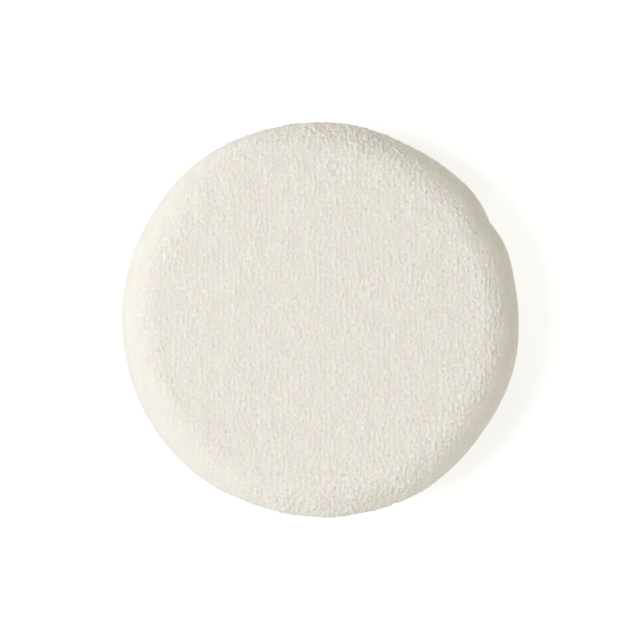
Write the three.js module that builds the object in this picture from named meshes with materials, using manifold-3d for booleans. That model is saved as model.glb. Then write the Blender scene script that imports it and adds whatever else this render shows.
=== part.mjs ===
// A round cosmetic powder puff: two velour covers sewn face to face, turned right side out over a foam
// disc, with a satin finger strap across the back whose ends are caught in the rim seam.
// Millimetres, +Z up. The puff lies on its back with the powdering face up. The origin is the centre of
// the back, on the plane that the puff lies on, and X runs along the strap.
import * as THREE from "three";
import { mergeVertices } from "three/addons/utils/BufferGeometryUtils.js";
import Module from "manifold-3d";

// Overall size of the stuffed puff
const PUFF_DIAMETER = 75;
const PUFF_THICKNESS = 14;

// Velour covers
const VELOUR_THICKNESS = 1.3; // ground cloth with its standing pile
const FACE_FLAT_DIAMETER = 61; // part of the front inside its soft shoulder
const FACE_POWER = 2; // squareness of the front's shoulder, where 2 is round
const BACK_POWER = 3; // squareness of the back's rolled edge
const BACK_FLAT_DIAMETER = 48; // part of the back that lies flat on a table
const BACK_DRAW_IN = 0.6; // the back's edge stays inside the front's by this much

// Rim seam
const SEAM_HEIGHT = 5.8; // of the seam above the table
const SEAM_DITCH = 1.1; // depth of the seam below the front's outline
const SEAM_GAP = 0.3; // between the covers where nothing lies between them
const RIM_BULGE = 1.2; // height of each cover's widest level above or below the seam
const SEAM_ALLOWANCE = 3; // cloth turned in behind the seam
const ALLOWANCE_THICKNESS = 0.6; // its pile is crushed flat
const SEAM_PLAY = 0.22; // gap between the strap's end and each cover
const PARTING_FADE = 3; // height over which the covers close up again above and below a strap end

// Finger strap
const STRAP_WIDTH = 16;
const STRAP_THICKNESS = 0.35;
const STRAP_RECESS = 0.2; // the strap lies this deep in the back's pile
const STRAP_CLEARANCE = 0.2; // round the strap in the pile that it crushes
const STRAP_END_MARGIN = 0.4; // from the strap's end to the raw edge of the cloth

// Foam disc
const FOAM_CLEARANCE = 0.3;

// Sewing thread
const THREAD_DIAMETER = 0.25;
const THREAD_CLEARANCE = 0.1;
const NEEDLE_STITCH = 2.6; // length of a stitch in the straight row
const NEEDLE_RISE = 0.06; // height of each stitch's arch
const NEEDLE_TO_FOLD = 0.3; // from the straight row to the fold at the seam
const BINDING_PITCH = 5.2; // one wave of the thread that binds the raw edges
const BINDING_TO_NEEDLE = 0.25; // gap between that thread's turns and the straight row
const LADDER_PITCH = 2.4; // one wave of the hand stitch that closes the turning gap
const LADDER_SWING = 0.1;
const LADDER_STANDOFF = 0.42; // gap between the hand stitch and the seam's mouth

// Turning gap, left open in the machine seam and closed by hand, and how stitching draws the rim in
const GAP_CENTRE = THREE.MathUtils.degToRad(-60);
const GAP_ARC = THREE.MathUtils.degToRad(45);
const STRAP_PULL = 0.45; // at the middle of each strap end
const PUCKER_DEPTH = 0.6; // where the hand stitch was fastened off
const PUCKER_ARC = THREE.MathUtils.degToRad(5);
const RIM_REACH = 4; // power by which the pull fades towards the middle

// Fineness of the solids
const SEGMENTS = 48; // round the puff
const SHOULDER_STEPS = 8;
const LINING_STEPS = 6;
const ROLL_STEPS = 3;
const STRAP_FLAT_STEPS = 4;
const STRAP_ACROSS_STEPS = 4;
const THREAD_SIDES = 4;
const BINDING_STEPS = 12; // to a wave
const NEEDLE_STEPS = 2; // to a stitch
const LADDER_STEPS = 6;

// Levels and radii that follow from these sizes
const FRONT_RADIUS = PUFF_DIAMETER / 2;
const BACK_RADIUS = FRONT_RADIUS - BACK_DRAW_IN;
const FACE_FLAT_RADIUS = FACE_FLAT_DIAMETER / 2;
const BACK_FLAT_RADIUS = BACK_FLAT_DIAMETER / 2;
const MOUTH_RADIUS = FRONT_RADIUS - SEAM_DITCH;
const RAW_EDGE_RADIUS = MOUTH_RADIUS - SEAM_ALLOWANCE;
const FRONT_WIDE_Z = SEAM_HEIGHT + RIM_BULGE;
const BACK_WIDE_Z = SEAM_HEIGHT - RIM_BULGE;
const STACK_HALF = SEAM_GAP / 2 + ALLOWANCE_THICKNESS; // half the height of the two turned-in edges
const BINDING_RADIUS = STACK_HALF + THREAD_CLEARANCE + THREAD_DIAMETER / 2;
const FOLD_RADIUS = MOUTH_RADIUS - ALLOWANCE_THICKNESS;
const NEEDLE_RADIUS = FOLD_RADIUS - NEEDLE_TO_FOLD;
const BINDING_BITE = NEEDLE_RADIUS - THREAD_DIAMETER - BINDING_TO_NEEDLE - RAW_EDGE_RADIUS;
const LADDER_RADIUS = MOUTH_RADIUS + LADDER_STANDOFF + THREAD_DIAMETER / 2;
const SEAM_START = GAP_CENTRE + GAP_ARC / 2; // the machine seam runs round to the gap's other end
const SEAM_ARC = 2 * Math.PI - GAP_ARC;
const STRAP_HALF_ARC = STRAP_WIDTH / 2 / FRONT_RADIUS;
const SEGMENT_ARC = (2 * Math.PI) / SEGMENTS;
const PARTING = STRAP_THICKNESS / 2 + SEAM_PLAY - SEAM_GAP / 2; // of each cover at a strap end
const PARTING_ARC = Math.asin(STRAP_WIDTH / 2 / RAW_EDGE_RADIUS) + SEGMENT_ARC;

const wasm = await Module();
wasm.setup();

const velour = { color: 0xe4ded5, roughness: 0.95, metalness: 0 };
const foam = { color: 0xf1ead8, roughness: 0.9, metalness: 0 };
const satin = { color: 0xece6db, roughness: 0.4, metalness: 0 };
const cotton = { color: 0xe9e3d8, roughness: 0.7, metalness: 0 };

// Angle from a place on the rim to another, from -PI to PI.
function turnFrom(centre, angle) {
  return Math.atan2(Math.sin(angle - centre), Math.cos(angle - centre));
}

// How far a bump of the given half-width reaches at an angle round the rim, from 1 at its centre.
function bump(angle, centre, halfArc) {
  return Math.exp(-0.5 * (turnFrom(centre, angle) / halfArc) ** 2);
}

// Height of a point of a cover that is parted from the seam's plane by a share of the full parting.
function partedHeight(height, share) {
  const rise = height - SEAM_HEIGHT;
  const seamReach = BINDING_RADIUS + THREAD_DIAMETER;
  const fading = THREE.MathUtils.smoothstep(Math.abs(rise), seamReach, seamReach + PARTING_FADE);
  return height + Math.sign(rise) * PARTING * share * (1 - fading);
}

// Moves a point towards the axis by the pull of the strap's ends and of the pucker.
function drawIn(point) {
  const radius = Math.hypot(point.x, point.y);
  if (radius === 0) return point;
  const angle = Math.atan2(point.y, point.x);
  const strapEnds = bump(angle, 0, STRAP_HALF_ARC) + bump(angle, Math.PI, STRAP_HALF_ARC);
  const pull = STRAP_PULL * strapEnds + PUCKER_DEPTH * bump(angle, SEAM_START, PUCKER_ARC);
  const drawn = 1 - (pull / radius) * (radius / FRONT_RADIUS) ** RIM_REACH;
  point.x *= drawn;
  point.y *= drawn;
  return point;
}

// Moves a point as the sewing does: the strap's ends part the covers, and the rim is drawn in.
function sew(point) {
  const angle = Math.atan2(point.y, point.x);
  const fromStrap = Math.min(Math.abs(turnFrom(0, angle)), Math.abs(turnFrom(Math.PI, angle)));
  const closing = THREE.MathUtils.smoothstep(fromStrap, PARTING_ARC, PARTING_ARC + 2 * SEGMENT_ARC);
  point.z = partedHeight(point.z, 1 - closing);
  return drawIn(point);
}

// Revolves a section of (radius, height) points about Z, then sews it.
function revolved(section) {
  const geometry = new THREE.LatheGeometry(section, SEGMENTS).rotateX(Math.PI / 2);
  const positions = geometry.getAttribute("position");
  const point = new THREE.Vector3();
  for (let i = 0; i < positions.count; i += 1) {
    sew(point.fromBufferAttribute(positions, i));
    positions.setXYZ(i, point.x, point.y, point.z);
  }
  return geometry;
}

// Half section of a padded face: a flat, then a superellipse shoulder down to the upright edge.
// Heights are measured from the widest level.
function paddedFace(radius, flat, rise, power, steps) {
  const points = [new THREE.Vector2(0, rise)];
  for (let i = 0; i <= steps; i += 1) {
    const angle = (Math.PI / 2) * (i / steps);
    const reach = (radius - flat) * Math.sin(angle) ** (2 / power);
    points.push(new THREE.Vector2(flat + reach, rise * Math.cos(angle)));
  }
  return points;
}

// Quarter ellipse that rolls a cover's edge from its widest level into the seam's mouth.
function rolledEdge(radius, wideZ, lipZ) {
  const points = [];
  for (let i = 1; i <= ROLL_STEPS; i += 1) {
    const angle = (Math.PI / 2) * (i / ROLL_STEPS);
    const r = MOUTH_RADIUS + (radius - MOUTH_RADIUS) * Math.cos(angle);
    points.push(new THREE.Vector2(r, wideZ + (lipZ - wideZ) * Math.sin(angle)));
  }
  return points;
}

// Closed section of one cover, from the axis over its face, into the seam and back along its inside.
// side is 1 for the front, above the seam, and -1 for the back.
function coverSection(side, radius, flat, rise, power) {
  const wideZ = SEAM_HEIGHT + side * RIM_BULGE;
  const lipZ = SEAM_HEIGHT + (side * SEAM_GAP) / 2;
  const insideLipZ = lipZ + side * ALLOWANCE_THICKNESS;
  const standing = (p) => new THREE.Vector2(p.x, wideZ + side * p.y);
  const insideRise = rise - VELOUR_THICKNESS;
  const outside = paddedFace(radius, flat, rise, power, SHOULDER_STEPS).map(standing);
  const inside = paddedFace(radius - VELOUR_THICKNESS, flat, insideRise, power, LINING_STEPS).map(standing);
  const allowance = [
    new THREE.Vector2(RAW_EDGE_RADIUS, lipZ),
    new THREE.Vector2(RAW_EDGE_RADIUS, insideLipZ),
    new THREE.Vector2(FOLD_RADIUS, insideLipZ),
  ];
  const section = [...outside, ...rolledEdge(radius, wideZ, lipZ), ...allowance, ...inside.reverse()];
  return side > 0 ? section.reverse() : section;
}

// Foam disc, filling the covers, with the groove that the turned-in seam presses into its edge.
function foamSection() {
  const skin = VELOUR_THICKNESS + FOAM_CLEARANCE;
  const grooveHalf = BINDING_RADIUS + THREAD_DIAMETER / 2 + FOAM_CLEARANCE;
  const grooveRadius = RAW_EDGE_RADIUS - grooveHalf;
  const top = SEAM_HEIGHT + grooveHalf;
  const bottom = SEAM_HEIGHT - grooveHalf;
  const upperRise = PUFF_THICKNESS - skin - top;
  const upper = paddedFace(FRONT_RADIUS - skin, FACE_FLAT_RADIUS, upperRise, FACE_POWER, LINING_STEPS);
  const lower = paddedFace(BACK_RADIUS - skin, BACK_FLAT_RADIUS, bottom - skin, BACK_POWER, LINING_STEPS);
  const groove = [];
  for (let i = 0; i <= 2 * ROLL_STEPS; i += 1) {
    const angle = Math.PI * (i / (2 * ROLL_STEPS));
    const r = RAW_EDGE_RADIUS - (RAW_EDGE_RADIUS - grooveRadius) * Math.sin(angle);
    groove.push(new THREE.Vector2(r, SEAM_HEIGHT + grooveHalf * Math.cos(angle)));
  }
  const section = [
    ...upper.map((p) => new THREE.Vector2(p.x, top + p.y)),
    ...groove,
    ...lower.map((p) => new THREE.Vector2(p.x, bottom - p.y)).reverse(),
  ];
  return section.reverse();
}

// The strap's course, as stations from one end to the other: across the flat of the back, round its
// rolled edge and into the seam. Each has a point of the back's section, the outward normal there and the
// strap's distance from the cloth along it, less than 0 where the strap lies in the pile.
function strapStations() {
  const lying = -(STRAP_RECESS + STRAP_THICKNESS / 2);
  const lipZ = SEAM_HEIGHT - SEAM_GAP / 2;
  const half = [];
  for (let i = 1; i < STRAP_FLAT_STEPS; i += 1) {
    const share = i / STRAP_FLAT_STEPS;
    half.push({ share, r: BACK_FLAT_RADIUS, z: 0, normal: new THREE.Vector2(0, -1), offset: lying });
  }
  const face = paddedFace(BACK_RADIUS, BACK_FLAT_RADIUS, BACK_WIDE_Z, BACK_POWER, SHOULDER_STEPS);
  const roll = face.slice(1).map((p) => new THREE.Vector2(p.x, BACK_WIDE_Z - p.y));
  const mouth = rolledEdge(BACK_RADIUS, BACK_WIDE_Z, lipZ);
  const end = new THREE.Vector2(RAW_EDGE_RADIUS + STRAP_END_MARGIN, lipZ);
  const course = [new THREE.Vector2(0, 0), ...roll, ...mouth, end];
  for (const point of course) point.y = partedHeight(point.y, 1);
  for (let i = 1; i < course.length; i += 1) {
    const before = course[i].clone().sub(course[i - 1]).normalize();
    const after = i + 1 < course.length ? course[i + 1].clone().sub(course[i]).normalize() : before;
    const along = before.add(after).normalize();
    const turned = THREE.MathUtils.clamp((i - roll.length) / mouth.length, 0, 1);
    half.push({
      share: 1,
      r: course[i].x,
      z: course[i].y,
      normal: new THREE.Vector2(along.y, -along.x),
      offset: THREE.MathUtils.lerp(lying, STRAP_THICKNESS / 2 + SEAM_PLAY, turned),
    });
  }
  const middle = { ...half[0], share: 0 };
  const mirrored = half.map((s) => ({ ...s, share: -s.share })).reverse();
  return [...mirrored, middle, ...half];
}

// A closed solid through rings of points, each of which runs the same way round.
function loft(rings) {
  const count = rings[0].length;
  const triangles = [];
  const quad = (a, b, c, d) => triangles.push(a, b, c, a, c, d);
  for (let i = 0; i + 1 < rings.length; i += 1) {
    for (let j = 0; j < count; j += 1) {
      const next = (j + 1) % count;
      quad(i * count + j, i * count + next, (i + 1) * count + next, (i + 1) * count + j);
    }
  }
  const last = (rings.length - 1) * count;
  for (let j = 0; j + 1 < count / 2; j += 1) {
    const across = count - 1 - j;
    quad(j, across, across - 1, j + 1);
    quad(last + j, last + j + 1, last + across - 1, last + across);
  }
  const positions = rings.flat().flatMap((p) => [p.x, p.y, p.z]);
  const geometry = new THREE.BufferGeometry();
  geometry.setAttribute("position", new THREE.Float32BufferAttribute(positions, 3));
  geometry.setIndex(triangles);
  geometry.computeVertexNormals();
  return geometry;
}

// A ribbon along the strap's course, from below to above its middle surface.
function ribbon(width, below, above) {
  const surfacePoint = (station, y, rise) => {
    const reach = station.offset + rise;
    const r = station.r + station.normal.x * reach;
    const x = station.share * Math.sqrt(r * r - y * y);
    return drawIn(new THREE.Vector3(x, y, station.z + station.normal.y * reach));
  };
  const ring = (station) => {
    const points = [];
    for (let j = 0; j <= STRAP_ACROSS_STEPS; j += 1) {
      points.push(surfacePoint(station, width * (j / STRAP_ACROSS_STEPS - 0.5), above));
    }
    for (let j = STRAP_ACROSS_STEPS; j >= 0; j -= 1) {
      points.push(surfacePoint(station, width * (j / STRAP_ACROSS_STEPS - 0.5), -below));
    }
    return points;
  };
  return loft(strapStations().map(ring));
}

// A closed geometry as a solid that can be cut, with its shared corners merged and its empty triangles
// at the poles left out.
function solid(geometry) {
  const bare = new THREE.BufferGeometry();
  bare.setAttribute("position", geometry.getAttribute("position"));
  bare.setIndex(geometry.index);
  const merged = mergeVertices(bare, 1e-4);
  const corners = [...merged.index.array];
  const kept = [];
  for (let i = 0; i < corners.length; i += 3) {
    const [a, b, c] = corners.slice(i, i + 3);
    if (a !== b && b !== c && c !== a) kept.push(a, b, c);
  }
  const vertProperties = merged.getAttribute("position").array;
  return new wasm.Manifold(new wasm.Mesh({ numProp: 3, vertProperties, triVerts: new Uint32Array(kept) }));
}

function geometryOf(manifold) {
  const mesh = manifold.getMesh();
  const geometry = new THREE.BufferGeometry();
  geometry.setAttribute("position", new THREE.BufferAttribute(mesh.vertProperties, 3));
  geometry.setIndex(new THREE.BufferAttribute(mesh.triVerts, 1));
  geometry.computeVertexNormals();
  return geometry;
}

// A thread on a course given by a function of 0 to 1, which returns (radius, angle, height).
function thread(steps, course) {
  class Course extends THREE.Curve {
    getPoint(t, target = new THREE.Vector3()) {
      const [radius, angle, height] = course(t);
      return sew(target.set(radius * Math.cos(angle), radius * Math.sin(angle), height));
    }
    getPointAt(t, target) {
      return this.getPoint(t, target);
    }
    getTangentAt(t, target) {
      return this.getTangent(t, target);
    }
  }
  const section = new THREE.Shape();
  for (let i = 0; i < THREAD_SIDES; i += 1) {
    const angle = (2 * Math.PI * i) / THREAD_SIDES;
    const corner = [(THREAD_DIAMETER / 2) * Math.cos(angle), (THREAD_DIAMETER / 2) * Math.sin(angle)];
    if (i === 0) section.moveTo(...corner);
    else section.lineTo(...corner);
  }
  return new THREE.ExtrudeGeometry(section, { steps, extrudePath: new Course(), bevelEnabled: false });
}

// The thread that winds to and fro over the raw edges and so binds both covers and the strap's ends.
function bindingThread() {
  const waves = Math.round((SEAM_ARC * RAW_EDGE_RADIUS) / BINDING_PITCH);
  const quarterTurn = (Math.PI / 2) * BINDING_RADIUS;
  return thread(waves * BINDING_STEPS, (t) => {
    const travel = (quarterTurn + BINDING_BITE) * Math.sin(2 * Math.PI * waves * t);
    const round = THREE.MathUtils.clamp(travel, -quarterTurn, quarterTurn) / BINDING_RADIUS;
    const bite = Math.max(0, Math.abs(travel) - quarterTurn);
    const radius = RAW_EDGE_RADIUS - BINDING_RADIUS * Math.cos(round) + bite;
    return [radius, SEAM_START + SEAM_ARC * t, SEAM_HEIGHT + BINDING_RADIUS * Math.sin(round)];
  });
}

// The straight row of stitches on the front's allowance.
function needleThread() {
  const stitches = Math.round((SEAM_ARC * NEEDLE_RADIUS) / NEEDLE_STITCH);
  return thread(stitches * NEEDLE_STEPS, (t) => {
    const arch = NEEDLE_RISE * Math.sin(Math.PI * stitches * t) ** 2;
    return [NEEDLE_RADIUS, SEAM_START + SEAM_ARC * t, SEAM_HEIGHT + BINDING_RADIUS + arch];
  });
}

// The hand stitch that crosses to and fro between the covers and closes the turning gap.
function ladderThread() {
  const waves = Math.round((GAP_ARC * LADDER_RADIUS) / LADDER_PITCH);
  return thread(waves * LADDER_STEPS, (t) => {
    const swing = LADDER_SWING * Math.sin(2 * Math.PI * waves * t);
    return [LADDER_RADIUS, GAP_CENTRE + GAP_ARC * (t - 0.5), SEAM_HEIGHT + swing];
  });
}

// The back cover, with its pile crushed to a channel where the strap lies.
function backCover() {
  const section = coverSection(-1, BACK_RADIUS, BACK_FLAT_RADIUS, BACK_WIDE_Z, BACK_POWER);
  const depth = STRAP_THICKNESS / 2 + STRAP_CLEARANCE;
  const channel = ribbon(STRAP_WIDTH + 2 * STRAP_CLEARANCE, depth, depth + VELOUR_THICKNESS);
  return geometryOf(solid(revolved(section)).subtract(solid(channel)));
}

const frontRise = PUFF_THICKNESS - FRONT_WIDE_Z;
const pieces = [
  ["front_cover", revolved(coverSection(1, FRONT_RADIUS, FACE_FLAT_RADIUS, frontRise, FACE_POWER)), velour],
  ["back_cover", backCover(), velour],
  ["foam_core", revolved(foamSection()), foam],
  ["finger_strap", ribbon(STRAP_WIDTH, STRAP_THICKNESS / 2, STRAP_THICKNESS / 2), satin],
  ["edge_binding_thread", bindingThread(), cotton],
  ["needle_thread", needleThread(), cotton],
  ["ladder_stitch_thread", ladderThread(), cotton],
];

const puff = new THREE.Group();
puff.name = "powder_puff";
for (const [name, geometry, finish] of pieces) {
  const mesh = new THREE.Mesh(geometry, new THREE.MeshStandardMaterial(finish));
  mesh.name = name;
  puff.add(mesh);
}

export default puff;
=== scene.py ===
# The looks of a round velour powder puff: padded covers with a combed pile, a satin finger strap across
# the back, a foam disc and the sewing threads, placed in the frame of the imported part. Metres, +Z up.
import math

import bmesh
import bpy
import numpy as np
from mathutils import Matrix, Vector


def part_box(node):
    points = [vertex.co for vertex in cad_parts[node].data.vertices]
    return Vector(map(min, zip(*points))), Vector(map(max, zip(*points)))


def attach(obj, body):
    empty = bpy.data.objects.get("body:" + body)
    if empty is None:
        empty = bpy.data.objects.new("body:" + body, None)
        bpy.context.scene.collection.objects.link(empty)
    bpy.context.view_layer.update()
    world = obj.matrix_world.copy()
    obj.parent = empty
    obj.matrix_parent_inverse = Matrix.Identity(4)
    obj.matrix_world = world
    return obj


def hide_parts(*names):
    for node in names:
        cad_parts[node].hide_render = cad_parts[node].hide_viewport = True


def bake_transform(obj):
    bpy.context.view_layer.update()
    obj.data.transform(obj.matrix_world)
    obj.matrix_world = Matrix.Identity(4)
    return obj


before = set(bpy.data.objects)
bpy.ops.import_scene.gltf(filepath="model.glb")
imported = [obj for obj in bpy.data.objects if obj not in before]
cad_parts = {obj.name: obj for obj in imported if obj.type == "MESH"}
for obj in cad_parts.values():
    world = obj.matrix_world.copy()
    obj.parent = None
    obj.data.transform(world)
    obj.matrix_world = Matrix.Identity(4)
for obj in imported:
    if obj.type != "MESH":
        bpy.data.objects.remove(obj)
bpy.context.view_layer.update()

MM = 0.001
TINY = 0.001 * MM  # smaller than any detail

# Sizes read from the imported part
front_low, front_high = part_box("front_cover")
back_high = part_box("back_cover")[1]
strap_low, strap_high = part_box("finger_strap")
FACE_HEIGHT = front_high.z
FRONT_RADIUS = front_high.y
BACK_RADIUS = back_high.y
SEAM_HEIGHT = (front_low.z + back_high.z) / 2
SEAM_GAP = front_low.z - back_high.z
STRAP_WIDTH = strap_high.y - strap_low.y

# Covers and rim seam, as the part has them
VELOUR_THICKNESS = 1.3 * MM
FACE_FLAT_RADIUS = 30.5 * MM
FACE_POWER = 2
BACK_POWER = 3
BACK_FLAT_RADIUS = 24 * MM
SEAM_DITCH = 1.1 * MM
RIM_BULGE = 1.2 * MM
SEAM_ALLOWANCE = 3 * MM
ALLOWANCE_THICKNESS = 0.6 * MM
SEAM_PLAY = 0.22 * MM
PARTING_FADE = 3 * MM
MOUTH_RADIUS = FRONT_RADIUS - SEAM_DITCH
RAW_EDGE_RADIUS = MOUTH_RADIUS - SEAM_ALLOWANCE
FOLD_RADIUS = MOUTH_RADIUS - ALLOWANCE_THICKNESS
BACK_WIDE_Z = SEAM_HEIGHT - RIM_BULGE

# Finger strap
STRAP_THICKNESS = 0.35 * MM
STRAP_RECESS = 0.2 * MM
STRAP_CLEARANCE = 0.2 * MM
STRAP_END_MARGIN = 0.4 * MM
STRAP_GATHER = 0.12 * MM  # depth of the small folds where the seam catches the ribbon
GATHERS = 2.5  # folds on each side of the ribbon's middle line
STRAP_HALF_ARC = STRAP_WIDTH / 2 / FRONT_RADIUS
STRAP_CELLS = (110, 40)  # of its mesh, along and across each half
CHANNEL_PLAY = 0.05 * MM  # width of crushed pile on each side of the ribbon
CHANNEL_WALL = 0.5 * MM  # width over which the pile rises again
SELVEDGE_PLACE = 0.96  # share of the ribbon's half width, as is its spread
SELVEDGE_SPREAD = 0.035
WEB_THICKNESS = 0.75  # thickness between the selvedges as a share of theirs
SHARP_FOLD = math.radians(50)  # edges that turn further stay sharp

# Foam disc
FOAM_CLEARANCE = 0.3 * MM
FOAM_STEPS = 120  # round the axis

# Thread courses
THREAD_DIAMETER = 0.25 * MM
THREAD_CLEARANCE = 0.1 * MM
PLY_TWIST = 0.9 * MM  # length of thread for one turn of its two plies
NEEDLE_INSET = 0.3 * MM
NEEDLE_PLAY = 0.25 * MM
NEEDLE_RADIUS = FOLD_RADIUS - NEEDLE_INSET
NEEDLE_STITCH = 2.6 * MM
NEEDLE_RISE = 0.06 * MM
BINDING_RADIUS = SEAM_GAP / 2 + ALLOWANCE_THICKNESS + THREAD_CLEARANCE + THREAD_DIAMETER / 2
BINDING_PITCH = 5.2 * MM
BINDING_BITE = NEEDLE_RADIUS - THREAD_DIAMETER - NEEDLE_PLAY - RAW_EDGE_RADIUS
LADDER_LIFT = 0.42 * MM
LADDER_RADIUS = MOUTH_RADIUS + LADDER_LIFT + THREAD_DIAMETER / 2
LADDER_PITCH = 2.4 * MM
LADDER_SWING = 0.1 * MM
BINDING_POINTS = 72  # points of the course for each wave
STITCH_POINTS = 24  # and for each stitch of the other two threads

# Turning gap, and how the stitching draws the rim in
GAP_CENTRE = math.radians(-60)
GAP_ARC = math.radians(45)
SEAM_START = GAP_CENTRE + GAP_ARC / 2
SEAM_ARC = 2 * math.pi - GAP_ARC
STRAP_PULL = 0.45 * MM
PUCKER_DEPTH = 0.58 * MM
PUCKER_ARC = math.radians(3.6)
RIM_REACH = 4  # power by which the pull fades from the rim inwards
SWELLS = (  # angle and half arc in degrees, and how far the rim stands out from a true circle there
    (-126, 5.5, 0.21 * MM),
    (-103, 6, -0.16 * MM),
    (-80, 8, 0.27 * MM),
    (-47, 4.5, 0.28 * MM),
    (-28, 4.5, 0.22 * MM),
    (10, 8, 0.22 * MM),
    (59, 11, 0.34 * MM),
    (173, 10, 0.2 * MM),
)
PARTING = STRAP_THICKNESS / 2 + SEAM_PLAY - SEAM_GAP / 2
PARTING_MARGIN = math.radians(7.5)
PARTING_ARC = math.asin(STRAP_WIDTH / 2 / RAW_EDGE_RADIUS) + PARTING_MARGIN
PARTING_FADE_ARC = math.radians(15)

# Pile of the velour: how its tufts, its loose curls and its fuller patches lie on the cloth. The sizes are
# the pitch across and along the wales, the half width and half length of one, its greatest sideways slope
# and the height of the lowest against the tallest.
WALE_ANGLE = math.radians(22.5)  # direction of the wales, the columns of knit loops
TUFTS = (1.0 * MM, 1.2 * MM, 0.36 * MM, 0.76 * MM, 0.2, 0.2)
CURLS = (0.5 * MM, 0.55 * MM, 0.26 * MM, 0.34 * MM, 0.6, 0.0)
PATCHES = (2.6 * MM, 4.0 * MM, 2.2 * MM, 3.4 * MM, 0.3, 0.0)
PILE_DEPTH = 0.185 * MM
PATCH_RISE = 0.06 * MM
TUFT_SHARE = 0.75  # of the pile's height: the rest is curls
THIN_PILE = 0.5  # height of the pile between the patches, against that on them
WALE_WANDER = 0.6 * MM  # how far the wales stray sideways
CHANCE_SIZE = 97  # columns and rows after which the chances repeat

# How the pile stands on the shoulder and the rim
NAP_ANGLE = math.radians(-62.5)  # where the shoulder bends against the nap and opens the pile
NAP_LIMITS = (-1, 0.5)  # cosine of the turn from there where the opening starts and where it is full
SHOULDER_OPENING = 0.65  # how much deeper the pile is on that shoulder
SHOULDER_MIDDLE = 3 * MM  # how far outside the flat of the cover the opening is greatest
SHOULDER_SPREAD = 6 * MM
RIM_LEVELS = (0.77, 0.94)  # upright part of the normal where the cloth is rim and where it is face
RIM_RUN = (0.3, 0.75)  # sine of the turn from the wales where they end at the rim and where they follow it
WALE_END_OPENING = 0.65  # how much deeper the pile is on the rim where the wales end
RIM_LAYING = 0.72  # how much of it is laid flat on the rim where the wales run along it
STANDING_LIMIT = 2  # of the value that the finish gets

# Cloth simulation of the covers
SWELL = 0.35 * MM  # how far the filling presses the middle of a cover out
SIM_SCALE = 20  # simulated this much larger, because the settings suit cushions
SIM_STEPS = 20
SIM_STIFFNESS = 300  # velour on foam gives little
SIM_PRESSURE = 4
FINE_LEVELS = 3  # subdivisions from the simulated cloth to the shown one

# Studio
FLOOR_HALF_SIZE = 0.4
FLOOR_GREY = (0.75, 0.75, 0.75, 1)
FLOOR_LIFT = 0.55  # added where the camera sees the floor, so that it shows white
LAMP_SIZE = 0.5
LAMP_DISTANCE = 0.9
WHITE = (1, 1, 1, 1)


def smoothstep(value, low, high):
    share = np.clip((value - low) / (high - low), 0, 1)
    return share * share * (3 - 2 * share)


def between(low, high, share):
    return low + (high - low) * share


# Node trees

class Shade:
    """A socket of a node tree, for use in Python expressions."""

    def __init__(self, tree, socket=None):
        self.tree = tree
        self.socket = socket

    def node(self, kind, settings=None, sockets=None, output=0):
        """Adds a node: its settings first, then the values or links of its sockets."""
        made = self.tree.nodes.new("ShaderNode" + kind)
        for name, value in (settings or {}).items():
            setattr(made, name, value)
        for name, value in (sockets or {}).items():
            if isinstance(value, Shade):
                self.tree.links.new(value.socket, made.inputs[name])
            else:
                made.inputs[name].default_value = value
        return Shade(self.tree, made.outputs[output] if made.outputs else None)

    def __add__(self, other):
        return self.node("Math", {"operation": "ADD"}, {0: self, 1: other})

    def __sub__(self, other):
        return self.node("Math", {"operation": "SUBTRACT"}, {0: self, 1: other})

    def __rsub__(self, other):
        return self.node("Math", {"operation": "SUBTRACT"}, {0: other, 1: self})

    def __mul__(self, other):
        return self.node("Math", {"operation": "MULTIPLY"}, {0: self, 1: other})

    def __lt__(self, other):
        return self.node("Math", {"operation": "LESS_THAN"}, {0: self, 1: other})

    __radd__ = __add__
    __rmul__ = __mul__


def mixed(shade, share, first, second):
    """A colour between two colours."""
    return shade.node("Mix", {"data_type": "RGBA"}, {0: share, 6: first, 7: second}, output=2)


def tinted(shade, colour, tint):
    """A colour dyed by a tint."""
    settings = {"data_type": "RGBA", "blend_type": "MULTIPLY"}
    return shade.node("Mix", settings, {0: 1.0, 6: colour, 7: tint}, output=2)


def stretched_noise(shade, place, fineness, detail=2.0):
    """Noise on a place, with its own fineness along each axis."""
    fine = shade.node("VectorMath", {"operation": "MULTIPLY"}, {0: place, 1: fineness})
    return shade.node("TexNoise", {}, {"Vector": fine, "Scale": 1.0, "Detail": detail})


def new_finish(name):
    finish = bpy.data.materials.new(name)
    finish.use_nodes = True
    finish.node_tree.nodes.clear()
    return finish, Shade(finish.node_tree)


def lay_on(shade, sockets):
    """Ends a finish with its shader."""
    shader = shade.node("BsdfPrincipled", {}, sockets)
    shade.node("OutputMaterial", {}, {"Surface": shader})


# Finishes. The cloth's own places are in millimetres, across and then along its wales or its warp.

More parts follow.
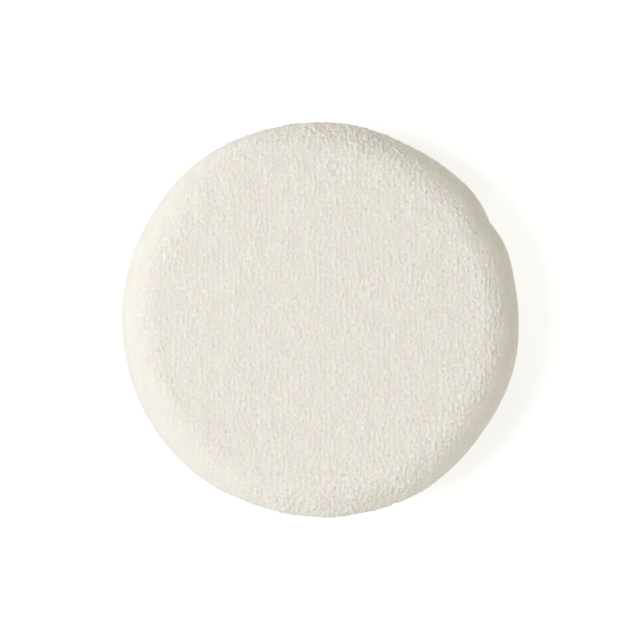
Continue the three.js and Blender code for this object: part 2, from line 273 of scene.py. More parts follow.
def velour_finish():
    """Ivory pile in combed strokes with faint casts of hue; painted shade deep in the pile, where it parts
    and on the laid rim, and painted highlights at single tips.
    """
    finish, shade = new_finish("ivory_velour")
    pile = shade.node("Attribute", {"attribute_name": "pile"}, output="Fac")
    standing = shade.node("Attribute", {"attribute_name": "standing"}, output="Fac")
    cloth = shade.node("Attribute", {"attribute_name": "cloth"}, output="Vector")
    strokes = stretched_noise(shade, cloth, (2.2, 0.6, 1.0), detail=2.0)
    specks = stretched_noise(shade, cloth, (1.9, 1.6, 1.0), detail=1.0)
    combing = stretched_noise(shade, cloth, (0.5, 0.22, 1.0), detail=1.0)
    blush = stretched_noise(shade, cloth, (0.28, 0.19, 1.0), detail=3.0)
    elsewhere = shade.node("VectorMath", {"operation": "ADD"}, {0: cloth, 1: (100.0, 0.0, 0.0)})
    warmth = stretched_noise(shade, elsewhere, (0.22, 0.16, 1.0), detail=3.0)
    # Colours of the pile: painted shade low in it, the lit colour of its tips, painted shade in its gaps,
    # painted highlights on single tips
    root_shade = (0.861, 0.848, 0.8, 1)
    tips = (0.908, 0.899, 0.851, 1)
    gap_shade = (0.72, 0.705, 0.65, 1)
    painted_glints = (1, 0.995, 0.955, 1)
    laid_tint_and_rim_shade = (0.975, 0.98, 0.96, 1)
    green_cast = (0.97, 1, 0.97, 1)
    rosy_cast = (1, 0.94, 0.97, 1)
    lilac_cast = (0.98, 0.97, 1, 1)
    cream_cast = (1, 0.98, 0.93, 1)
    parting_level = 0.4073  # fibres lower than this leave a gap, painted in shade
    parting_contrast = 12.4
    glint_level = 0.6022  # specks higher than this are tips with a painted highlight
    glint_contrast = 9
    combing_contrast = 2.2
    fibres = between(strokes, specks, 0.6)
    height = between(pile, fibres, 0.6)
    # Painted shade: darker low in the pile and along the streaks where the comb leans it, lighter at the
    # tips
    combed = mixed(shade, height + (combing - 0.5) * combing_contrast, root_shade, tips)
    # Painted shade where the fibres part, deeper where the pile is combed up
    parting = (parting_level - fibres) * parting_contrast * (combing * 2 - 0.15)
    gap_shaded = mixed(shade, parting * standing, combed, gap_shade)
    # Painted highlights on single tips, where the pile stands
    glinting = (specks - glint_level) * glint_contrast
    highlighted = mixed(shade, glinting * standing, gap_shaded, painted_glints)
    blushed = tinted(shade, highlighted, mixed(shade, blush * 2 - 0.5, green_cast, rosy_cast))
    warmed = tinted(shade, blushed, mixed(shade, warmth * 2 - 0.5, lilac_cast, cream_cast))
    # Where the pile lies flat, along the rim and into the seam, a greener, darker tint: partly the laid
    # pile's own tone, partly painted shade on the rim and in the seam
    colour = tinted(shade, warmed, mixed(shade, standing, laid_tint_and_rim_shade, WHITE))
    bump = shade.node("Bump", {}, {"Strength": 0.55, "Distance": 0.3 * MM, "Height": fibres * standing})
    lay_on(shade, {
        "Base Color": colour,
        "Roughness": 1 - height * 0.15,
        "Normal": bump,
        "Sheen Weight": 0.26,
        "Sheen Roughness": 0.5,
        "Specular IOR Level": 0.15,
    })
    return finish


def satin_finish():
    """Satin with long floats, and a plain weave at the selvedges; its colour paints shade between the
    threads and sheen along the floats.
    """
    finish, shade = new_finish("ivory_satin_ribbon")
    cloth = shade.node("Attribute", {"attribute_name": "cloth"}, output="Vector")
    selvedge = shade.node("Attribute", {"attribute_name": "selvedge"}, output="Fac")
    floats = stretched_noise(shade, cloth, (4.5, 0.15, 1.0), detail=3.0)
    picks = stretched_noise(shade, cloth, (0.9, 4.0, 1.0))
    weave = between(floats, picks, selvedge)
    # Painted light: shade between the threads and sheen on the floats
    hollow_shade = (0.7, 0.65, 0.57, 1)
    float_sheen = (0.93, 0.895, 0.83, 1)
    colour = mixed(shade, weave, hollow_shade, float_sheen)
    bump = shade.node("Bump", {}, {"Strength": 0.5, "Distance": 0.06 * MM, "Height": weave})
    lay_on(shade, {
        "Base Color": colour,
        "Roughness": 0.24 + selvedge * 0.25 + floats * 0.16,
        "Normal": bump,
        "Sheen Weight": 0.15,
    })
    return finish


def foam_finish():
    finish, shade = new_finish("cream_foam")
    place = shade.node("TexCoord", output="Object")
    cells_a_metre = 1600.0
    cells = shade.node("TexVoronoi", {}, {"Vector": place, "Scale": cells_a_metre}, output="Distance")
    # Painted shade: the open cells are darker than their walls
    pore_shade = (0.7, 0.62, 0.47, 1)
    wall = (0.92, 0.87, 0.75, 1)
    colour = mixed(shade, cells, pore_shade, wall)
    bump = shade.node("Bump", {}, {"Strength": 0.7, "Distance": 0.2 * MM, "Height": cells})
    lay_on(shade, {"Base Color": colour, "Roughness": 0.8 + cells * 0.2, "Normal": bump})
    return finish


def thread_finish():
    finish, shade = new_finish("ivory_cotton_thread")
    place = shade.node("TexCoord", output="Object")
    fineness = 9000.0
    fibres = stretched_noise(shade, place, (fineness, fineness, fineness))
    dark = (0.7, 0.65, 0.57, 1)
    light = (0.87, 0.83, 0.755, 1)
    colour = mixed(shade, fibres, dark, light)
    bump = shade.node("Bump", {}, {"Strength": 0.4, "Distance": 0.03 * MM, "Height": fibres})
    lay_on(shade, {"Base Color": colour, "Roughness": 0.6 + fibres * 0.25, "Normal": bump})
    return finish


# Mesh helpers

def new_piece(name, mesh, finish):
    piece = bpy.data.objects.new(name, mesh)
    bpy.context.scene.collection.objects.link(piece)
    mesh.materials.clear()
    mesh.materials.append(finish)
    return piece


def mesh_of(name, bm):
    mesh = bpy.data.meshes.new(name)
    bm.to_mesh(mesh)
    bm.free()
    return mesh


def points_of(mesh):
    points = np.empty(len(mesh.vertices) * 3)
    mesh.vertices.foreach_get("co", points)
    return points.reshape(-1, 3)


def move_points(mesh, points):
    mesh.vertices.foreach_set("co", points.ravel())
    mesh.update()


def keep_values(mesh, name, values):
    attribute = mesh.attributes.new(name, "FLOAT", "POINT")
    attribute.data.foreach_set("value", values)


def keep_vectors(mesh, name, vectors):
    attribute = mesh.attributes.new(name, "FLOAT_VECTOR", "POINT")
    attribute.data.foreach_set("vector", vectors.ravel())


def working_copy(mesh, places):
    """An object with a copy of a mesh, for modifiers to work on. places are where its points go."""
    copy = mesh.copy()
    move_points(copy, places)
    holder = bpy.data.objects.new("working_copy", copy)
    bpy.context.scene.collection.objects.link(holder)
    return holder


def finished_mesh(holder):
    """The mesh that the modifiers of a working copy make, after which the copy is gone."""
    graph = bpy.context.evaluated_depsgraph_get()
    mesh = bpy.data.meshes.new_from_object(holder.evaluated_get(graph), depsgraph=graph)
    bpy.data.objects.remove(holder)
    return mesh


def subdivided(mesh, places):
    """A smooth fine mesh from a coarse one with its points at these places."""
    holder = working_copy(mesh, places)
    smooth = holder.modifiers.new("fine", "SUBSURF")
    smooth.levels = FINE_LEVELS
    smooth.render_levels = FINE_LEVELS
    return finished_mesh(holder)


# How the sewing moves a point

def turn_from(centre, angle):
    return np.arctan2(np.sin(angle - centre), np.cos(angle - centre))


def bulge(angle, centre, half_arc):
    """A smooth rise round the rim, from 1 at its centre."""
    return np.exp(-0.5 * (turn_from(centre, angle) / half_arc) ** 2)


def crease(angle, centre, half_arc):
    """A rise round the rim with a sharp crest, from 1 at its centre."""
    return np.exp(-np.abs(turn_from(centre, angle)) / half_arc)


def parted_height(height, share):
    """Height of a point of a cover that is parted from the seam's plane by a share of the full parting."""
    rise = height - SEAM_HEIGHT
    seam_reach = BINDING_RADIUS + THREAD_DIAMETER
    fading = smoothstep(np.abs(rise), seam_reach, seam_reach + PARTING_FADE)
    return height + np.sign(rise) * PARTING * share * (1 - fading)


def drawn_in(points):
    """Moves points in or out by the pull of the strap's ends and the pucker, and by the rim's swells."""
    radius = np.maximum(np.hypot(points[:, 0], points[:, 1]), TINY)
    angle = np.arctan2(points[:, 1], points[:, 0])
    strap_ends = bulge(angle, 0, STRAP_HALF_ARC) + bulge(angle, math.pi, STRAP_HALF_ARC)
    pull = STRAP_PULL * strap_ends + PUCKER_DEPTH * crease(angle, SEAM_START, PUCKER_ARC)
    for centre, half_arc, reach in SWELLS:
        pull -= reach * bulge(angle, math.radians(centre), math.radians(half_arc))
    drawn = 1 - pull / radius * (radius / FRONT_RADIUS) ** RIM_REACH
    moved = points.copy()
    moved[:, :2] *= drawn[:, None]
    return moved


def sewn(points):
    """Moves points as the sewing does: the strap's ends part the covers, and the rim is drawn in."""
    angle = np.arctan2(points[:, 1], points[:, 0])
    from_strap = np.minimum(np.abs(turn_from(0, angle)), np.abs(turn_from(math.pi, angle)))
    closing = smoothstep(from_strap, PARTING_ARC, PARTING_ARC + PARTING_FADE_ARC)
    moved = points.copy()
    moved[:, 2] = parted_height(moved[:, 2], 1 - closing)
    return drawn_in(moved)


def around(radius, angle, height):
    """Points at a radius, an angle round the axis and a height."""
    return np.stack([radius * np.cos(angle), radius * np.sin(angle), height + 0 * angle], axis=1)


# Half sections of the covers

def padded_face(radius, flat, rise, power, steps):
    """Radii and heights of a flat with a superellipse shoulder, down to the upright edge."""
    turn = np.linspace(0, math.pi / 2, steps + 1)
    shoulder = flat + (radius - flat) * np.sin(turn) ** (2 / power)
    radii = np.append(np.linspace(0, flat, steps, endpoint=False), shoulder)
    heights = rise * np.append(np.ones(steps), np.cos(turn))
    return radii, heights


def rolled_edge(radius, wide_z, lip_z, steps):
    """Radii and heights from a cover's widest level into the seam's mouth."""
    turn = np.linspace(0, math.pi / 2, steps + 1)[1:]
    radii = MOUTH_RADIUS + (radius - MOUTH_RADIUS) * np.cos(turn)
    return radii, wide_z + (lip_z - wide_z) * np.sin(turn)


class CoverSection:
    """The outside of a slack cover from the axis to the seam's mouth, by its length along the cloth."""

    def __init__(self, side, radius, flat, power):
        self.side = side
        self.radius = radius
        self.flat = flat
        self.power = power
        self.wide_z = SEAM_HEIGHT + side * RIM_BULGE
        self.lip_z = SEAM_HEIGHT + side * SEAM_GAP / 2
        self.rise = (FACE_HEIGHT - self.wide_z if side > 0 else self.wide_z) - SWELL
        face_r, face_h = padded_face(radius, flat, self.rise, power, steps=80)
        roll_r, roll_z = rolled_edge(radius, self.wide_z, self.lip_z, steps=24)
        self.r = np.append(face_r, roll_r)
        self.z = np.append(self.wide_z + side * face_h, roll_z)
        along = np.hypot(np.diff(self.r), np.diff(self.z))
        self.length = np.append(0, np.cumsum(along))
        self.wide_length = self.length[len(face_r) - 1]
        self.normal_r = -side * np.gradient(self.z, self.length)
        self.normal_z = side * np.gradient(self.r, self.length)

    def lining(self):
        """Radii and heights of the turned-in allowance and the inside, from the mouth to the axis."""
        inner_z = self.lip_z + self.side * ALLOWANCE_THICKNESS
        inside_rise = self.rise - VELOUR_THICKNESS
        inside_r, inside_h = padded_face(
            self.radius - VELOUR_THICKNESS, self.flat, inside_rise, self.power, steps=8)
        allowance = [(RAW_EDGE_RADIUS, self.lip_z), (RAW_EDGE_RADIUS, inner_z), (FOLD_RADIUS, inner_z)]
        inside = list(zip(inside_r, self.wide_z + self.side * inside_h))
        return allowance + inside[:0:-1]


def strap_press(section, length):
    """How deep the strap presses the back's pile at a length along the cloth."""
    turned = (length - section.wide_length) / (section.length[-1] - section.wide_length)
    full = STRAP_RECESS + STRAP_THICKNESS + STRAP_CLEARANCE
    return full * (1 - np.clip(turned, 0, 1))


def draped(section, flat):
    """Points and outward normals of a cover whose cloth has these flat places."""
    length = np.hypot(flat[:, 0], flat[:, 1])
    angle = np.arctan2(flat[:, 1], flat[:, 0])
    radius = np.interp(length, section.length, section.r)
    height = np.interp(length, section.length, section.z)
    normal_r = np.interp(length, section.length, section.normal_r)
    normal_z = np.interp(length, section.length, section.normal_z)
    points = around(radius, angle, height)
    normals = around(normal_r, angle, normal_z)
    if section.side < 0:
        wall = STRAP_WIDTH / 2 + CHANNEL_PLAY
        beside = smoothstep(np.abs(points[:, 1]), wall, wall + CHANNEL_WALL)
        points -= normals * (strap_press(section, length) * (1 - beside))[:, None]
    return sewn(points), normals


# Pile

def clumps(across, along, sizes, seed):
    """Height, from 0 to 1, of fibre clumps strewn along the wales."""
    pitch, course, half_width, half_length, lean, lowest = sizes
    chance = np.random.default_rng(seed).random((6, CHANCE_SIZE, CHANCE_SIZE))
    nearest_column = np.floor(across / pitch).astype(int)
    height = np.zeros(len(across))
    for column in (nearest_column - 1, nearest_column, nearest_column + 1):
        phase = chance[0, column % CHANCE_SIZE, 0]
        nearest_row = np.floor(along / course - phase).astype(int)
        for row in (nearest_row - 1, nearest_row, nearest_row + 1):
            aside, ahead, tilt, size, reach = chance[1:, column % CHANCE_SIZE, row % CHANCE_SIZE]
            beyond = along - (row + phase + between(0.2, 0.8, ahead)) * course
            middle = (column + between(0.25, 0.75, aside)) * pitch
            beside = across - middle - lean * between(-1, 1, tilt) * beyond
            wide = half_width * between(0.75, 1.25, size)
            long = half_length * between(0.6, 1.4, reach)
            dome = 1 - (beside / wide) ** 2 - (beyond / long) ** 2
            height = np.maximum(height, between(lowest, 1, size) * smoothstep(dome, 0, 1))
    return height


def pile_heights(flat, seed):
    """Heights of the pile and of the patches below it, from 0 to 1, and places by the wales."""
    across = flat[:, 1] * math.cos(WALE_ANGLE) - flat[:, 0] * math.sin(WALE_ANGLE)
    along = flat[:, 0] * math.cos(WALE_ANGLE) + flat[:, 1] * math.sin(WALE_ANGLE)
    patches = clumps(across, along, PATCHES, seed)
    strayed = across + WALE_WANDER * patches
    tufts = clumps(strayed, along, TUFTS, seed + 1)
    curls = clumps(across, along, CURLS, seed + 2)
    height = between(curls, tufts, TUFT_SHARE) * between(THIN_PILE, 1, patches)
    return height, patches, np.stack([across, along, 0 * along], axis=1)


# Covers

def cloth_disc(radius, cells, rings):
    """Mesh of a flat round piece of cloth: a rounded square patch of cells with rings round it."""
    bm = bmesh.new()
    bmesh.ops.create_grid(bm, x_segments=cells, y_segments=cells, size=1)
    for ring in range(rings):
        edge = [e for e in bm.edges if e.is_boundary]
        made = bmesh.ops.extrude_edge_only(bm, edges=edge)["geom"]
        new_points = [v for v in made if isinstance(v, bmesh.types.BMVert)]
        growth = (rings + ring + 1) / (rings + ring)
        bmesh.ops.scale(bm, vec=(growth, growth, 1), verts=new_points)
    mesh = mesh_of("cloth", bm)
    square = points_of(mesh)
    level = np.abs(square[:, :2]).max(axis=1)
    ring_share = np.clip(level - 1, 0, 1)[:, None]
    on_patch = square[:, :2] / np.maximum(level, 1)[:, None]
    other = on_patch[:, ::-1]
    patch_size = 0.5  # of the radius
    patch_rounding = 0.2  # 0.5 would make it a circle
    patch = patch_size * on_patch * np.sqrt(1 - patch_rounding * other ** 2)
    circle = on_patch * np.sqrt(1 - 0.5 * other ** 2)
    flat = np.zeros_like(square)
    flat[:, :2] = radius * between(patch, circle, ring_share)
    move_points(mesh, flat)
    return mesh


def add_lining(mesh, section):
    """Carries a cover's edge into the seam and along its inside, so that the cover has its thickness."""
    bm = bmesh.new()
    bm.from_mesh(mesh)
    edge = [e for e in bm.edges if e.is_boundary]
    for radius, height in section.lining():
        made = bmesh.ops.extrude_edge_only(bm, edges=edge)["geom"]
        edge = [e for e in made if isinstance(e, bmesh.types.BMEdge)]
        ring = [v for v in made if isinstance(v, bmesh.types.BMVert)]
        angle = np.array([math.atan2(v.co.y, v.co.x) for v in ring])
        for vert, place in zip(ring, sewn(around(radius, angle, height))):
            vert.co = place
    bmesh.ops.contextual_create(bm, geom=edge)
    bmesh.ops.recalc_face_normals(bm, faces=bm.faces)
    for face in bm.faces:
        face.smooth = True
    bm.to_mesh(mesh)
    bm.free()


def swelling(disc, section):
    """Moves of a cover's points as the filling presses it out, by cloth simulation with the seam held."""
    flat = points_of(disc)
    start = SIM_SCALE * draped(section, flat)[0]
    holder = working_copy(disc, start)
    held = np.flatnonzero(np.hypot(flat[:, 0], flat[:, 1]) > section.wide_length)
    holder.vertex_groups.new(name="seam").add(held.tolist(), 1, "REPLACE")
    cloth = holder.modifiers.new("swelling", "CLOTH").settings
    cloth.vertex_group_mass = "seam"
    cloth.use_pressure = True
    cloth.uniform_pressure_force = SIM_PRESSURE * section.side
    cloth.tension_stiffness = SIM_STIFFNESS
    cloth.compression_stiffness = SIM_STIFFNESS
    cloth.effector_weights.gravity = 0
    for step in range(SIM_STEPS):
        bpy.context.scene.frame_set(step + 1)
    moves = points_of(finished_mesh(holder)) - start
    bpy.context.scene.frame_set(1)
    return moves * SWELL / np.linalg.norm(moves, axis=1).max()


def pile_standing(section, flat, across, normals):
    """How far the pile stands up at a cover's places: 1 on the face, more where it opens, 0 in the seam."""
    length = np.hypot(flat[:, 0], flat[:, 1])
    against_nap = np.cos(np.arctan2(flat[:, 1], flat[:, 0]) - NAP_ANGLE)
    on_shoulder = np.exp(-((length - section.flat - SHOULDER_MIDDLE) / SHOULDER_SPREAD) ** 2)
    opened = 1 + SHOULDER_OPENING * on_shoulder * smoothstep(against_nap, *NAP_LIMITS)
    along_rim = smoothstep(np.abs(across) / np.maximum(length, MM), *RIM_RUN)
    turned_down = 1 - smoothstep(np.abs(normals[:, 2]), *RIM_LEVELS)
    on_rim = 1 + turned_down * between(WALE_END_OPENING, -RIM_LAYING, along_rim)
    return opened * on_rim * (1 - smoothstep(length, section.wide_length, section.length[-1]))


def cover(name, node, section, sunk, cells, rings, seed, finish):
    """A padded cover. sunk is the share of the pile that lies below the section's surface."""
    disc = cloth_disc(section.length[-1], cells, rings)
    moves = points_of(subdivided(disc, swelling(disc, section)))
    mesh = subdivided(disc, points_of(disc))
    flat = points_of(mesh)
    height, patches, cloth = pile_heights(flat, seed)
    points, normals = draped(section, flat)
    standing = pile_standing(section, flat, cloth[:, 0], normals)
    rise = PILE_DEPTH * (height - sunk) + PATCH_RISE * (patches - sunk)
    points += moves + normals * (rise * standing)[:, None]
    move_points(mesh, points)
    piece = new_piece(name, mesh, finish)
    keep_values(mesh, "pile", height)
    keep_values(mesh, "standing", np.clip(standing, 0, STANDING_LIMIT))
    keep_vectors(mesh, "cloth", cloth / MM)
    add_lining(mesh, section)
    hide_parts(node)
    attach(piece, "puff")


# Foam disc

def foam_disc(finish):
    """The filling, with a groove that leaves room for the seam."""
    skin = VELOUR_THICKNESS + FOAM_CLEARANCE
    padding = skin + SWELL
    groove_half = BINDING_RADIUS + THREAD_DIAMETER / 2 + FOAM_CLEARANCE
    top = SEAM_HEIGHT + groove_half
    bottom = SEAM_HEIGHT - groove_half
    upper_rise = FACE_HEIGHT - padding - top
    lower_rise = bottom - padding
    steps = 12  # of each curve in the section
    upper_r, upper_h = padded_face(FRONT_RADIUS - skin, FACE_FLAT_RADIUS, upper_rise, FACE_POWER, steps)
    lower_r, lower_h = padded_face(BACK_RADIUS - skin, BACK_FLAT_RADIUS, lower_rise, BACK_POWER, steps)
    turn = np.linspace(0, math.pi, steps + 1)
    groove_r = RAW_EDGE_RADIUS - groove_half * np.sin(turn)
    groove_z = SEAM_HEIGHT + groove_half * np.cos(turn)
    radii = np.concatenate([upper_r, groove_r, lower_r[::-1]])
    heights = np.concatenate([top + upper_h, groove_z, bottom - lower_h[::-1]])
    bm = bmesh.new()
    outline = [bm.verts.new((r, 0, z)) for r, z in zip(radii, heights)]
    edges = [bm.edges.new(pair) for pair in zip(outline, outline[1:])]
    bmesh.ops.spin(
        bm, geom=outline + edges, axis=(0, 0, 1), cent=(0, 0, 0),
        angle=2 * math.pi, steps=FOAM_STEPS, use_merge=True)
    bmesh.ops.remove_doubles(bm, verts=bm.verts, dist=TINY)
    bmesh.ops.recalc_face_normals(bm, faces=bm.faces)
    for face in bm.faces:
        face.smooth = True
    mesh = mesh_of("foam", bm)
    move_points(mesh, sewn(points_of(mesh)))
    piece = new_piece("foam_disc", mesh, finish)
    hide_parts("foam_core")
    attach(piece, "puff")


# Finger strap

def strap_course():
    """Lengths from the middle to an end, and the radius, height, normal, offset and gathers there."""
    lying = -(STRAP_RECESS + STRAP_THICKNESS / 2)
    lip_z = SEAM_HEIGHT - SEAM_GAP / 2
    face_r, face_h = padded_face(BACK_RADIUS, BACK_FLAT_RADIUS, BACK_WIDE_Z, BACK_POWER, steps=40)
    roll_r, roll_z = rolled_edge(BACK_RADIUS, BACK_WIDE_Z, lip_z, steps=12)
    end_r = RAW_EDGE_RADIUS + STRAP_END_MARGIN
    radii = np.concatenate([face_r, roll_r, [end_r]])
    heights = parted_height(np.concatenate([BACK_WIDE_Z - face_h, roll_z, [lip_z]]), 1)
    length = np.append(0, np.cumsum(np.hypot(np.diff(radii), np.diff(heights))))
    into_seam = np.linspace(0, 1, len(roll_r) + 1)[1:]
    turned = np.concatenate([np.zeros(len(face_r)), into_seam, [1]])
    offset = between(lying, STRAP_THICKNESS / 2 + SEAM_PLAY, turned)
    gather = STRAP_GATHER * smoothstep(length, BACK_FLAT_RADIUS, BACK_RADIUS) * (1 - turned)
    normal_r = np.gradient(heights, length)
    normal_z = -np.gradient(radii, length)
    size = np.hypot(normal_r, normal_z)
    return length, radii, heights, normal_r / size, normal_z / size, offset, gather


def strap_half(name, side, finish):
    """Half of the ribbon, from the middle of the back to the end in the seam. side is 1 or -1 along X."""
    course = strap_course()
    length = course[0][-1]
    bm = bmesh.new()
    bmesh.ops.create_grid(bm, x_segments=STRAP_CELLS[0], y_segments=STRAP_CELLS[1], size=1)
    bmesh.ops.solidify(bm, geom=bm.faces[:], thickness=1)
    mesh = mesh_of(name, bm)
    plan = points_of(mesh)
    along = (plan[:, 0] + 1) / 2 * length
    across = plan[:, 1] * STRAP_WIDTH / 2
    at_places = [np.interp(along, course[0], row) for row in course[1:]]
    radius, height, normal_r, normal_z, offset, gather = at_places
    layer = np.abs(plan[:, 2])
    selvedge = np.exp(-((np.abs(plan[:, 1]) - SELVEDGE_PLACE) / SELVEDGE_SPREAD) ** 2)
    thickness = STRAP_THICKNESS * between(WEB_THICKNESS, 1, selvedge)
    folds = gather * (1 + np.cos(2 * math.pi * GATHERS * plan[:, 1])) / 2
    reach = offset + folds + thickness * (layer - 0.5)
    radius += normal_r * reach
    reach_r = np.maximum(radius, BACK_FLAT_RADIUS)
    x = radius / reach_r * np.sqrt(reach_r ** 2 - across ** 2)
    points = np.stack([side * x, across, height + normal_z * reach], axis=1)
    move_points(mesh, drawn_in(points))
    keep_values(mesh, "selvedge", selvedge)
    keep_vectors(mesh, "cloth", np.stack([across, along * side, 0 * along], axis=1) / MM)
    bm = bmesh.new()
    bm.from_mesh(mesh)
    bmesh.ops.recalc_face_normals(bm, faces=bm.faces)
    for face in bm.faces:
        face.smooth = True
    for edge in bm.edges:
        edge.smooth = edge.calc_face_angle(0) < SHARP_FOLD
    bm.to_mesh(mesh)
    bm.free()
    piece = new_piece(name, mesh, finish)
    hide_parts("finger_strap")
    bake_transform(piece)


# Threads

def twisted_thread(name, centre, finish):
    """Two plies twisted about a centre line of points."""
    step = np.linalg.norm(np.diff(centre, axis=0), axis=1)
    turn = np.append(0, np.cumsum(step)) * 2 * math.pi / PLY_TWIST
    forward = np.gradient(centre, axis=0)
    forward /= np.linalg.norm(forward, axis=1)[:, None]
    outward = centre * (1, 1, 0)
    sideways = np.cross(forward, outward)
    sideways /= np.linalg.norm(sideways, axis=1)[:, None]
    upward = np.cross(sideways, forward)
    ply_radius = THREAD_DIAMETER / 4
    curve = bpy.data.curves.new(name, "CURVE")
    curve.dimensions = "3D"
    curve.bevel_depth = ply_radius
    curve.bevel_resolution = 1
    curve.use_fill_caps = True
    for ply in (0, math.pi):
        swing = np.cos(turn + ply)[:, None] * sideways + np.sin(turn + ply)[:, None] * upward
        points = centre + swing * ply_radius
        spline = curve.splines.new("POLY")
        spline.points.add(len(points) - 1)
        spline.points.foreach_set("co", np.insert(points, 3, 1, axis=1).ravel())
    drawn = bpy.data.objects.new(name, curve)
    mesh = bpy.data.meshes.new_from_object(drawn)
    bpy.data.objects.remove(drawn)
    mesh.shade_smooth()
    piece = new_piece(name + "_plies", mesh, finish)
    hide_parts(name)
    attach(piece, "puff")


def binding_course():
    """The thread that winds over the raw edges and bites into both allowances."""
    waves = round(SEAM_ARC * RAW_EDGE_RADIUS / BINDING_PITCH)
    share = np.linspace(0, 1, waves * BINDING_POINTS + 1)
    quarter_turn = math.pi / 2 * BINDING_RADIUS
    travel = (quarter_turn + BINDING_BITE) * np.sin(2 * math.pi * waves * share)
    turned = np.clip(travel, -quarter_turn, quarter_turn) / BINDING_RADIUS
    bite = np.maximum(0, np.abs(travel) - quarter_turn)
    radius = RAW_EDGE_RADIUS - BINDING_RADIUS * np.cos(turned) + bite
    height = SEAM_HEIGHT + BINDING_RADIUS * np.sin(turned)
    return sewn(around(radius, SEAM_START + SEAM_ARC * share, height))


def needle_course():
    """The straight row of stitches inside the rim."""
    stitches = round(SEAM_ARC * NEEDLE_RADIUS / NEEDLE_STITCH)
    share = np.linspace(0, 1, stitches * STITCH_POINTS + 1)
    arch = NEEDLE_RISE * np.sin(math.pi * stitches * share) ** 2
    height = SEAM_HEIGHT + BINDING_RADIUS + arch
    return sewn(around(NEEDLE_RADIUS, SEAM_START + SEAM_ARC * share, height))


def ladder_course():
    """The hand stitches that close the turning gap."""
    waves = round(GAP_ARC * LADDER_RADIUS / LADDER_PITCH)
    share = np.linspace(0, 1, waves * STITCH_POINTS + 1)
    height = SEAM_HEIGHT + LADDER_SWING * np.sin(2 * math.pi * waves * share)
    return sewn(around(LADDER_RADIUS, GAP_CENTRE + GAP_ARC * (share - 0.5), height))


# Floor, light and camera

def seen_plainly(shade):
    """1 for rays that show the background as it is: from the camera, or by reflection or through glass."""
    camera = shade.node("LightPath", output="Is Camera Ray")
    glossy = shade.node("LightPath", output="Is Glossy Ray")
    through = shade.node("LightPath", output="Is Transmission Ray")
    return camera + glossy + through


def white_floor():
    """A pale floor that shows white to the camera and keeps the puff's shadow.

    Light from below passes it where the puff lies on it, so that the back is lit too.
    """
    finish, shade = new_finish("white_floor")
    plainly = seen_plainly(shade)
    under = shade.node("NewGeometry", output="Backfacing")
    place = shade.node("TexCoord", output="Object")
    from_axis = shade.node("VectorMath", {"operation": "LENGTH"}, {0: place}, output="Value")
    covered = (from_axis < BACK_RADIUS) * (1 - plainly)
    matt = shade.node("BsdfDiffuse", {}, {"Color": FLOOR_GREY})
    lift = shade.node("Emission", {}, {"Color": WHITE, "Strength": plainly * FLOOR_LIFT})
    lit = shade.node("AddShader", {}, {0: matt, 1: lift})
    clear = shade.node("BsdfTransparent")
    shown = shade.node("MixShader", {}, {0: under + covered, 1: lit, 2: clear})
    shade.node("OutputMaterial", {}, {"Surface": shown})
    bm = bmesh.new()
    bmesh.ops.create_grid(bm, x_segments=1, y_segments=1, size=FLOOR_HALF_SIZE)
    floor = new_piece("floor", mesh_of("floor", bm), finish)


def room_light(strength, tint):
    """Even light from all round, shown to the camera as white."""
    world = bpy.data.worlds.new("studio")
    world.use_nodes = True
    world.node_tree.nodes.clear()
    shade = Shade(world.node_tree)
    plainly = seen_plainly(shade)
    colour = mixed(shade, plainly, tint, WHITE)
    level = between(strength, 1, plainly)
    light = shade.node("Background", {}, {"Color": colour, "Strength": level})
    shade.node("OutputWorld", {}, {"Surface": light})
    bpy.context.scene.world = world


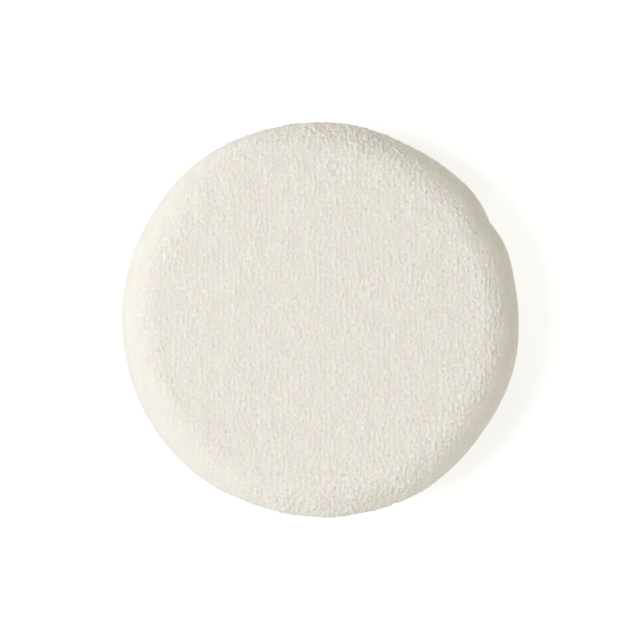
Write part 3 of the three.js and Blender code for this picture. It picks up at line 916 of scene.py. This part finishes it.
def soft_box(name, bearing, elevation, power, tint):
    """A square lamp that faces the puff from a bearing and an elevation in degrees."""
    lamp = bpy.data.lights.new(name, "AREA")
    lamp.size = LAMP_SIZE
    lamp.energy = power
    lamp.color = tint
    light = bpy.data.objects.new(name, lamp)
    raised = Matrix.Rotation(math.radians(-elevation), 3, "Y")
    turned = Matrix.Rotation(math.radians(bearing), 3, "Z")
    place = turned @ raised @ Vector((LAMP_DISTANCE, 0, 0))
    facing = place.to_track_quat("Z", "Y").to_matrix().to_4x4()
    light.matrix_world = Matrix.Translation(place) @ facing
    bpy.context.scene.collection.objects.link(light)


def overhead_camera():
    """Straight down, turned so that the strap's line runs up to the right as the outline shows."""
    frame_width = 120.97 * MM  # at the puff's widest level
    distance = 0.7
    turned = math.radians(-67.5)
    camera = bpy.data.cameras.new("overhead")
    camera.sensor_width = 36
    camera.lens = camera.sensor_width * distance / frame_width
    holder = bpy.data.objects.new("overhead", camera)
    place = Vector((0, 0, SEAM_HEIGHT + RIM_BULGE + distance))
    holder.matrix_world = Matrix.Translation(place) @ Matrix.Rotation(turned, 4, "Z")
    bpy.context.scene.collection.objects.link(holder)
    bpy.context.scene.camera = holder


# The puff

velour = velour_finish()
satin = satin_finish()
cotton = thread_finish()
front_section = CoverSection(1, FRONT_RADIUS, FACE_FLAT_RADIUS, FACE_POWER)
back_section = CoverSection(-1, BACK_RADIUS, BACK_FLAT_RADIUS, BACK_POWER)
cover("front_velour", "front_cover", front_section, sunk=0.5, cells=26, rings=13, seed=10, finish=velour)
cover("back_velour", "back_cover", back_section, sunk=1, cells=22, rings=11, seed=20, finish=velour)
foam_disc(foam_finish())
strap_half("strap_half_right", 1, satin)
strap_half("strap_half_left", -1, satin)
twisted_thread("edge_binding_thread", binding_course(), cotton)
twisted_thread("needle_thread", needle_course(), cotton)
twisted_thread("ladder_stitch_thread", ladder_course(), cotton)

# The studio

white_floor()
room_light(strength=0.338, tint=(1, 0.975, 0.905, 1))
soft_box("key", bearing=116.5, elevation=42, power=5.5, tint=(0.96, 0.985, 1))
soft_box("upper_fill", bearing=34, elevation=27, power=1.55, tint=(1, 0.96, 0.89))
soft_box("lower_fill", bearing=230, elevation=23, power=1.95, tint=(1, 0.97, 0.91))
soft_box("right_fill", bearing=-67.5, elevation=15, power=0.8, tint=(1, 0.97, 0.7))
soft_box("light_from_below", bearing=116.5, elevation=-55, power=1.8, tint=(1, 0.98, 0.94))
overhead_camera()
bpy.context.scene.view_settings.view_transform = "Standard"
